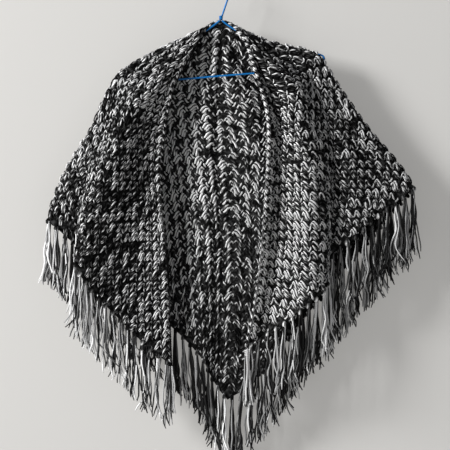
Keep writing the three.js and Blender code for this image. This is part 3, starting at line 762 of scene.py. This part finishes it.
def stitches(name, layer, side_name, face):
    """Stitches of one layer of one half, on its outer or inner face. Rings are carried along each
    strand's line in the stitch's own plane. They are then turned and placed on the flat cut, and
    every point of them goes on to the cloth."""
    a, b, row, share = SITES
    half = HALVES[side_name]
    in_front = share < half["share"]
    keep = in_front & (row > FIRST_STITCH_ROW) if layer == "front" else ~in_front
    if face == "inner":
        from_outline = np.abs(share - half["share"]) * row * half["hem"]
        keep &= from_outline > INNER_CLEARANCE * np.clip(row / NECK_ROW, 0.3, 1)
    start, end = stretch_of_row(layer, half)
    # Painted light and shade: each stitch's yarn made lighter or darker by its row and its place
    # across the layer.
    tone = np.interp(row[keep], *PAINTED_SHADING_DOWN[layer, side_name])
    tone += np.interp((share[keep] - start) / (end - start), *PAINTED_SHADING_ACROSS[layer, side_name])
    count = len(tone)
    a = a[keep] + random.uniform(-PLACE_STEP, PLACE_STEP, count)
    b = b[keep] + random.uniform(-PLACE_STEP, PLACE_STEP, count)
    lean = LEAN_WAY[face] + random.uniform(-LEAN_STEP, LEAN_STEP, count)
    size = random.uniform(*SIZE_RANGE, count)
    whole = random.uniform(-STITCH_TONE_STEP, STITCH_TONE_STEP, count)
    sign = SIDES[side_name]["sign"]
    lift = -INNER_HEIGHT if face == "inner" else 1.0
    open_way = -1.0 if face == "outer" else 1.0
    turned = np.stack([
        HEM_WAY[0] * np.cos(lean) - HEM_WAY[1] * np.sin(lean),
        HEM_WAY[1] * np.cos(lean) + HEM_WAY[0] * np.sin(lean),
    ], -1)
    open_side = open_way * np.stack([turned[:, 1], -turned[:, 0]], -1)
    strands = []
    total = 0
    for line, black, grey in STRANDS:
        local = carried_rings(
            line[None, :, :3], line[None, :, 3], YARN_SIDES, (0, 0, 1), STRAND_FLATNESS
        ).reshape(-1, 3)
        offset = local[:, :1] * open_side[:, None] + local[:, 1:2] * turned[:, None]
        flat_a = a[:, None] + size[:, None] * offset[..., 0]
        flat_b = b[:, None] + size[:, None] * offset[..., 1]
        height = np.broadcast_to(local[:, 2] * lift, flat_a.shape)
        points = on_cloth(sign * flat_a, flat_b, height).reshape(-1, 3)
        quads, shares, ends = tube_faces(count, len(line), YARN_SIDES)
        # The inner face's strands are mirrored, so the sign turns their twist the other way.
        length = np.linalg.norm(np.diff(line[:, :3], axis=0), axis=1).sum()
        shares = shares * (length / YARN_UNIT, -open_way)
        shade = random.choice(STRAND_TONES, count, p=[black, grey, 1 - black - grey])
        shade = shade + tone + whole + random.uniform(-STRAND_TONE_STEP, STRAND_TONE_STEP, count)
        strands.append((points, quads + total, shares, ends + total, np.repeat(shade, len(local))))
        total += len(points)
    points, quads, shares, ends, shades = (np.concatenate(group) for group in zip(*strands))
    return make_piece(name, points, quads, MARLED_YARN, shares, ends, shades)


stitch_pieces = [
    stitches(f"stitches_{layer}_{side_name}_{face}", layer, side_name, face)
    for layer, side_name in PATCHES
    for face in ("outer", "inner")
]

# Fringe
TUFT_PITCH = 22.0
TUFT_STRANDS = {"front": 7, "back": 11}
END_RADIUS = 1.6
END_LENGTH = 130.0
END_STATIONS = 14
END_TONES = (0.12, 0.5, 0.72, 0.95)
END_CHANCES = (0.42, 0.2, 0.15, 0.23)

# How uneven the ends are: along the hem within a tuft, through the cloth, in length, to one side
# for a whole tuft and for each end, and in the tone of a tuft and of an end
ROOT_SPREAD = 2.6
ROOT_DEPTH = 1.8
ROOT_INSET = 2  # above the hem
LENGTH_SPREAD = 6
TUFT_DRIFT = 4.2
END_DRIFT = 3.0
TUFT_TONE_RANGE = (-0.14, 0.1)
END_TONE_RANGE = (-0.06, 0.05)
THICKNESS_RANGE = (0.85, 1.15)
CUT_END = 0.6  # of an end's thickness

# How the ends hang: how fast and far they leave the cloth and how much of that isn't drop, the
# width and turns of their slow wave, of their small kinks and of their wave in depth, and how far
# the last of them curls aside
LEAVE_PACE = 12
LEAVE_REACH = 7
LEAVE_SHARE = 0.45
WAVE_WIDTH = (1.5, 7.0)
WAVE_TURNS = (0.5, 1.9)
KINK_WIDTH = (0, 1.6)
KINK_TURNS = 3.2
DEPTH_WAVE = 2.2
CURL_WIDTH = 4.5
WIDEST_CURL = 16
CURL_START = 0.7

# How much lighter or darker the yarn ends are along each stretch of hem, by the place from the
# front's tip (0) to the outline (1), or from the outline (0) to the back's tip (1).
ENDS_TONE = {
    ("front", "left"): ([0, 0.25, 0.5, 0.85, 1], [0, 0.3, 0.2, 0.3, -0.1]),
    ("front", "right"): (
        [0, 0.2, 0.35, 0.5, 0.7, 0.9, 1], [-0.15, -0.25, 0.15, 0.15, -0.25, -0.2, 0],
    ),
    ("back", "left"): ([0, 0.2, 0.6, 0.85, 1], [0.35, 0.05, -0.2, -0.25, 0.3]),
    ("back", "right"): ([0, 0.8, 1], [0, -0.2, -0.25]),
}

# The rows above the hem that give the way past it, and the margin inside a stretch's ends
ROW_STEP = 0.02
JUST_INSIDE = 1e-4


def hem_frames(half, shares):
    """Points of a hem at shares across it, the cloth's outward normal there and the way past the
    hem in the cloth, which is the way from ROW_STEP above it."""
    last = np.ones_like(shares)
    point = read_grid(half["points"], last, shares)
    above = read_grid(half["points"], last - ROW_STEP, shares)
    normal = unit(read_grid(half["normals"], last, shares))
    return point, normal, unit(point - above)


def hanging_ends(roots, past, lengths, drift):
    """Paths of yarn ends, t from 0 to 1 along them. Each leaves its root past the hem by
    1 - exp(-LEAVE_PACE t), turns down within a few millimetres and hangs. To the side it has a
    slow sine wave times t^0.7, a drift times t^1.3, a small faster sine times t, and from
    CURL_START on a curl that grows with the power 1.6. In depth it has half a sine."""
    count = len(roots)
    t = np.linspace(0, 1, END_STATIONS)
    leave = 1 - np.exp(-LEAVE_PACE * t)
    drop = lengths[:, None] * (t - leave * LEAVE_SHARE / LEAVE_PACE)
    wave = random.uniform(*WAVE_WIDTH, (count, 1))
    turns = random.uniform(*WAVE_TURNS, (count, 1))
    phase = random.uniform(0, math.tau, (count, 1))
    sway = wave * (np.sin(math.tau * turns * t + phase) - np.sin(phase)) * t ** 0.7
    sway += drift[:, None] * t ** 1.3
    kink = random.uniform(*KINK_WIDTH, (count, 1))
    sway += kink * np.sin(math.tau * KINK_TURNS * t + 2 * phase) * t
    curl = np.clip(CURL_WIDTH * random.standard_t(3, (count, 1)), -WIDEST_CURL, WIDEST_CURL)
    sway += curl * np.clip((t - CURL_START) / (1 - CURL_START), 0, 1) ** 1.6
    depth_wave = random.uniform(-DEPTH_WAVE, DEPTH_WAVE, (count, 1)) * np.sin(math.pi * t)
    paths = roots[:, None] + past[:, None] * (LEAVE_REACH * leave)[..., None]
    paths[..., 0] += sway
    paths[..., 1] += depth_wave
    paths[..., 2] -= drop
    return paths


def ends_piece(name, paths, shades):
    """Yarn ends along paths, each a little thinner at its cut end."""
    taper = np.interp(np.linspace(0, 1, END_STATIONS), [0, 0.9, 1], [1, 1, CUT_END])
    radii = END_RADIUS * taper * random.uniform(*THICKNESS_RANGE, (len(paths), 1))
    return tube_piece(name, paths, radii, YARN_SIDES, (0, 1, 0.02), END_YARN, shades[:, None])


def fringe(name, layer, side_name):
    """The tufts of one stretch of hem, TUFT_PITCH apart, with TUFT_STRANDS ends each."""
    half = HALVES[side_name]
    start, end = stretch_of_row(layer, half)
    count = round((end - start) * half["hem"] / TUFT_PITCH)
    strands = TUFT_STRANDS[layer]
    place = np.repeat(start + (np.arange(count) + 0.5) / count * (end - start), strands)
    place += random.uniform(-ROOT_SPREAD, ROOT_SPREAD, len(place)) / half["hem"]
    drift = np.repeat(random.normal(0, TUFT_DRIFT, count), strands)
    drift += random.normal(0, END_DRIFT, len(place))
    tone = np.repeat(random.uniform(*TUFT_TONE_RANGE, count), strands)
    tone += np.interp((place - start) / (end - start), *ENDS_TONE[layer, side_name])
    point, normal, past = hem_frames(half, np.clip(place, start + JUST_INSIDE, end - JUST_INSIDE))
    roots = point + normal * random.uniform(-ROOT_DEPTH, ROOT_DEPTH, (len(point), 1))
    roots -= past * ROOT_INSET
    lengths = END_LENGTH + random.normal(0, LENGTH_SPREAD, len(point))
    paths = hanging_ends(roots, past, lengths, drift)
    shades = random.choice(END_TONES, len(paths), p=END_CHANCES)
    shades = shades + random.uniform(*END_TONE_RANGE, len(paths)) + tone
    return ends_piece(name, paths, shades)


fringe_pieces = []
for layer, side_name in PATCHES:
    piece = fringe(f"ends_{layer}_{side_name}", layer, side_name)
    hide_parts(f"fringe_{layer}_{side_name}")
    fringe_pieces.append(piece)

# Knots along the hem: the circle that their yarn follows, how much longer it is past the hem, and
# the yarn's half width across and its widening along the hem
KNOT_CIRCLE = 4.4
KNOT_LENGTHENING = 1.1
KNOT_RADIUS = 2.2
KNOT_WIDENING = 1.6
KNOT_STATIONS = 9
KNOT_TONES = (0, 0.75)
ROUND_SIDES = 6


def hem_knots():
    """A knot for each tuft: yarn carried once round the hem on a circle across it, the sine of the
    turn past the hem and its cosine along the cloth's normal."""
    paths, along_hem = [], []
    turn = np.linspace(-0.5 * math.pi, 1.5 * math.pi, KNOT_STATIONS)[None, :, None]
    for half in HALVES.values():
        count = round(half["hem"] / TUFT_PITCH)
        point, normal, past = hem_frames(half, (np.arange(count) + 0.5) / count)
        centre = point + past * 0.5
        circle = np.sin(turn) * past[:, None] * KNOT_LENGTHENING + np.cos(turn) * normal[:, None]
        paths.append(centre[:, None] + KNOT_CIRCLE * circle)
        along_hem.append(unit(np.cross(past, normal))[:, None])
    paths = np.concatenate(paths)
    lean = np.concatenate(along_hem)
    shades = random.uniform(*KNOT_TONES, len(paths))[:, None]
    return tube_piece(
        "hem_knots", paths, KNOT_RADIUS, ROUND_SIDES, lean, MARLED_YARN, shades, KNOT_WIDENING
    )


knots = hem_knots()

# Edging along the long edge: its strands' circle and tones, which are set low as painted shade on
# the lit left edge, and how much whiter it is past the neck, from a share of its length on
EDGING_STEP = 2.6
EDGING_TURN = 15.0
EDGING_RADIUS = 2.3
EDGING_REACH = 2.5
EDGING_TONES_AND_SHADE = np.array([[0.0], [0.2], [0.4]])
WHITER = 0.3
WHITER_FROM = 0.45
WHITER_PACE = 10
EDGING_UNEVEN = 0.2
UNEVEN_STEPS = 9


def long_edge():
    """The long edge from the left front tip over the neck to the right front tip, with the cloth's
    normal along it, at equal steps: the fronts' free edge, and then the back's top."""
    front_rows = np.linspace(1, FIRST_FRONT_ROW + 0.012, 160)
    neck_rows = np.linspace(FIRST_FRONT_ROW - 0.008, 0, 14)
    rows = np.concatenate([front_rows, neck_rows])
    made = []
    for half in HALVES.values():
        share = np.where(rows < FIRST_FRONT_ROW, half["share"] + JUST_INSIDE, 0)
        made.append([read_grid(half[key], rows, share) for key in ("points", "normals")])
    points, normals = (np.concatenate([made[0][k], made[1][k][::-1]]) for k in (0, 1))
    run = np.concatenate([[0], np.cumsum(np.linalg.norm(np.diff(points, axis=0), axis=1))])
    steps = np.arange(0, run[-1], EDGING_STEP)
    return between(steps, run, points), unit(between(steps, run, unit(normals))), steps


def edging():
    """Three strands wound round each other along the long edge: the cosine of each one's turn
    beside the edge's line in the cloth, and its sine along the cloth's normal."""
    line, normal, steps = long_edge()
    side = np.cross(unit(np.gradient(line, axis=0)), normal)
    turn = math.tau * (steps / EDGING_TURN + np.arange(3)[:, None] / 3)[..., None]
    paths = line + EDGING_REACH * np.cos(turn) * side + EDGING_REACH * np.sin(turn) * normal
    whiter = WHITER * smoothstep((steps / steps[-1] - WHITER_FROM) * WHITER_PACE)
    places = steps[::UNEVEN_STEPS]
    uneven = random.uniform(-EDGING_UNEVEN, EDGING_UNEVEN, len(places))
    # Painted shade: the low base tones darken the whole edging, which shows most on its lit left
    # part.
    shades = EDGING_TONES_AND_SHADE + whiter + np.interp(steps, places, uneven)
    return tube_piece(
        "edging", paths, EDGING_RADIUS, ROUND_SIDES, normal, MARLED_YARN, shades,
        yarn_length=steps[-1] / YARN_UNIT,
    )


edging_piece = edging()

# Tassel at the right front tip, and the loose ends at the left one
TASSEL_HEAD = 15.0
TASSEL_ENDS = 22
TASSEL_LENGTH = 112.0
TASSEL_SPREAD = 9.0
TASSEL_TONES = (0.95, 0.6, 0.1, 0.85, 0.5, 0.95, 0.15, 0.7)
WRAP_CIRCLE = 3.9
WRAP_RADIUS = 1.0
WOUND_TURNS = 3
WRAP_TONE = 0.97
LOOSE_ENDS = 9
LOOSE_LENGTH = 96.0
LOOSE_SPREAD = 11.0
GATHERED_WAVE = 6.0
GATHERED_TURNS = 0.85
GATHERED_CURL = 9.0
GATHER_PLACES = (0, 0.13, 0.3, 1)
GATHER_WIDTHS = (2.6, 2.9, 5.0)
GOLDEN_TURN = 0.618
RIGHT_TIP = HALVES["right"]["points"][-1, 0] + (1, 0, -3)
LEFT_TIP = HALVES["left"]["points"][-1, 0] + (1, -2, -2)


def gathered_ends(name, tip, count, length, spread):
    """Yarn ends gathered under a tip: tight at its head, then spreading as they hang, with a slow
    sine wave that grows with t and a curl that grows with t^3. Their places fill a disc, each a
    golden angle on from the last and its radius the root of its number."""
    angle = math.tau * np.arange(count) * GOLDEN_TURN
    ring = np.sqrt((np.arange(count) + 0.5) / count)
    t = np.linspace(0, 1, END_STATIONS)
    lengths = length + random.normal(0, LENGTH_SPREAD, count)
    gather = np.interp(t, GATHER_PLACES, (*GATHER_WIDTHS, spread))
    out = np.stack([np.cos(angle), np.sin(angle), 0 * angle], -1) * ring[:, None]
    paths = tip + out[:, None] * gather[None, :, None]
    paths[..., 2] -= lengths[:, None] * t
    wave = random.uniform(-GATHERED_WAVE, GATHERED_WAVE, (count, 1))
    curl = random.uniform(-GATHERED_CURL, GATHERED_CURL, (count, 1))
    paths[..., 0] += wave * np.sin(math.tau * GATHERED_TURNS * t) * t + curl * t ** 3
    return ends_piece(name, paths, np.resize(TASSEL_TONES, count))


def winding(radius, start, end, steps):
    """A path wound round the z axis on a circle, evenly from the height start to the end."""
    t = np.linspace(0, 1, steps)
    turn = math.tau * WOUND_TURNS * t
    return np.stack([radius * np.cos(turn), radius * np.sin(turn), mix(start, end, t)], -1)


def tassel_wraps():
    """The wrapped head: one strand wound down it on a circle."""
    path = winding(WRAP_CIRCLE, -1, 1 - TASSEL_HEAD, 64) + RIGHT_TIP
    return tube_piece(
        "tassel_wraps", path[None], WRAP_RADIUS, ROUND_SIDES, (0, 0, 1), END_YARN, WRAP_TONE
    )


tassel_ends = gathered_ends("tassel_ends", RIGHT_TIP, TASSEL_ENDS, TASSEL_LENGTH, TASSEL_SPREAD)
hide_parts("tassel_front_right")
loose_ends = gathered_ends("loose_ends", LEFT_TIP, LOOSE_ENDS, LOOSE_LENGTH, LOOSE_SPREAD)
wraps = tassel_wraps()

# Wire hanger: the bends at the ends of its bar as (x, z), and the wire wound round its neck
PATH_STEPS = 8
LEFT_END = [[-205, -193], [-209, -202], [-205, -210]]
RIGHT_END = [[207, -151], [215, -155], [217, -163], [213, -172], [205, -177.5]]
WIRE_SIDES = 14
TWIST_CIRCLE = 2.9
TWIST_RADIUS = 1.25
TWIST_HEIGHT = 8.2
TWIST_SIDES = 10


def shoulder_points(side, end_bend):
    """Control points of one shoulder: from the twist down under the cloth, round the end bend and
    on to the bar."""
    sign = side["sign"]
    start = [[sign * 2.4, TWIST_FOOT - 1.8], [sign * 13.0, TWIST_FOOT - 10.5]]
    normals = outline_normal(side, UNDER_CLOTH_ROWS)
    under = rim_point(side, UNDER_CLOTH_ROWS) - normals * WIRE_LAY
    bar_x = sign * (BAR_HALF + 8)
    return np.concatenate([start, under, end_bend, [[bar_x, BAR_HEIGHT + BAR_SLOPE * bar_x]]])


def wire_piece(name, points):
    """A round wire on a smooth path through points (x, z) of the hanger's plane, y = 0."""
    path = smooth_path(np.insert(points, 1, 0, axis=1), PATH_STEPS)
    return tube_piece(name, path[None], WIRE_RADIUS, WIRE_SIDES, (0, 1, 0), COATED_WIRE)


def bent_wire():
    """One wire: down the left shoulder, along the bar and up the right shoulder."""
    left = shoulder_points(SIDES["left"], LEFT_END)
    right = shoulder_points(SIDES["right"], RIGHT_END)
    bar_x = np.linspace(-150, 150, 5)
    bar = np.stack([bar_x, BAR_HEIGHT + BAR_SLOPE * bar_x], -1)
    return wire_piece("bent_wire", np.concatenate([left, bar, right[::-1]]))


def hook_wire():
    """A stem that leans from the twist, a round bend through HOOK_SWEEP and a short open tip."""
    lean = math.asin(HOOK_RADIUS / HOOK_RISE)
    angle = -lean + HOOK_SWEEP * np.linspace(0, 1, 10)
    bend = HOOK_RADIUS * np.stack([np.cos(angle), np.sin(angle)], -1) + (0, HOOK_CENTRE)
    foot = np.array([0, TWIST_FOOT + 1])
    stem = foot + (bend[0] - foot) * np.array([[0], [0.5], [0.85]])
    tip = bend[-1:] + (-2.5, -7)
    return wire_piece("hook_wire", np.concatenate([stem, bend, tip]))


def neck_twist():
    """The wire's thin end wound up the foot of the stem on a circle."""
    start = TWIST_FOOT - 0.5
    path = winding(TWIST_CIRCLE, start, start + TWIST_HEIGHT, 72)
    return tube_piece("neck_twist", path[None], TWIST_RADIUS, TWIST_SIDES, (0, 0, 1), COATED_WIRE)


bent = bent_wire()
hook = hook_wire()
twist = neck_twist()
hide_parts("hanger_shoulder_left", "hanger_shoulder_right", "hanger_bar")
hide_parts("hanger_hook")
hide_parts("back_panel", "front_left", "front_right")

raised_pieces = [edging_piece, knots, *stitch_pieces]
end_pieces = [*fringe_pieces, tassel_ends, loose_ends, wraps]
slots = {
    "crochet": [shawl_cloth, *raised_pieces], "fringe": end_pieces, "wire": [bent, hook, twist],
}
for slot, pieces in slots.items():
    for piece in pieces:
        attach(piece, "root")

# Room, in metres: a pale wall close behind, a pale floor, soft light from the upper left
WALL_BEHIND = 0.06
WALL_TOP = 6.0
FLOOR_LEVEL = -1.45
ROOM_HALF = 14.0
WALL_PAINT = (0.305, 0.3, 0.29)
WALL_GLOW = 0.8
FLOOR_PAINT = (0.5, 0.493, 0.478)
PICTURE_CENTRE = (0.0084, 0.0, -0.509)


def flat_panel(name, near, far, material):
    """One face of the room, ROOM_HALF to either side, between two lines at the places (y, z)."""
    mesh = bpy.data.meshes.new(name)
    corners = [(-ROOM_HALF, *near), (ROOM_HALF, *near), (ROOM_HALF, *far), (-ROOM_HALF, *far)]
    mesh.from_pydata(corners, [], [(0, 1, 2, 3)])
    mesh.materials.append(material)
    panel = add_object(name, mesh)
    return panel


wall = flat_panel(
    "room_wall", (WALL_BEHIND, FLOOR_LEVEL), (WALL_BEHIND, WALL_TOP),
    plaster("wall_paint", WALL_PAINT, WALL_GLOW),
)
flat_panel(
    "room_floor", (-ROOM_HALF, FLOOR_LEVEL), (ROOM_HALF, FLOOR_LEVEL),
    plaster("floor_paint", FLOOR_PAINT, 0.0),
)
# The wall neither shades the shawl from the light behind it nor throws light back on it.
wall.visible_shadow = False
wall.visible_diffuse = False
wall.visible_glossy = False


def soft_light(name, place, size, power):
    """A square light at a place, turned towards the picture's centre."""
    light = bpy.data.lights.new(name, "AREA")
    light.size = size
    light.energy = power
    lamp = add_object(name, light)
    lamp.location = place
    way = np.array(PICTURE_CENTRE) - np.array(place)
    turn = math.atan2(way[1], way[0])
    tilt = math.acos(-way[2] / np.linalg.norm(way))
    lamp.rotation_euler = (tilt, 0, turn - math.pi / 2)


soft_light("key", place=(-4.9, -2.7, 1.7), size=1.7, power=720)
soft_light("fill", place=(1.6, -2.6, 0.2), size=1.8, power=4)
soft_light("behind", place=(0.6, 2.2, 1.0), size=1.4, power=40)
scene = bpy.context.scene
scene.world = bpy.data.worlds.new("room_air")
scene.world.use_nodes = True
air = scene.world.node_tree.nodes["Background"].inputs
air["Color"].default_value = (0.93, 0.95, 1, 1)
air["Strength"].default_value = 0.2
scene.view_settings.view_transform = "Standard"

# Camera: PICTURE_WIDTH across at the cloth
CAMERA_DISTANCE = 6.0
PICTURE_WIDTH = 0.945
SENSOR_WIDTH = 36
camera_data = bpy.data.cameras.new("camera")
camera_data.sensor_fit = "HORIZONTAL"
camera_data.sensor_width = SENSOR_WIDTH
camera_data.lens = SENSOR_WIDTH * CAMERA_DISTANCE / PICTURE_WIDTH
camera = add_object("camera", camera_data)
camera.location = (PICTURE_CENTRE[0], -CAMERA_DISTANCE, PICTURE_CENTRE[2])
camera.rotation_euler = (math.pi / 2, 0, 0)
bpy.context.scene.camera = camera
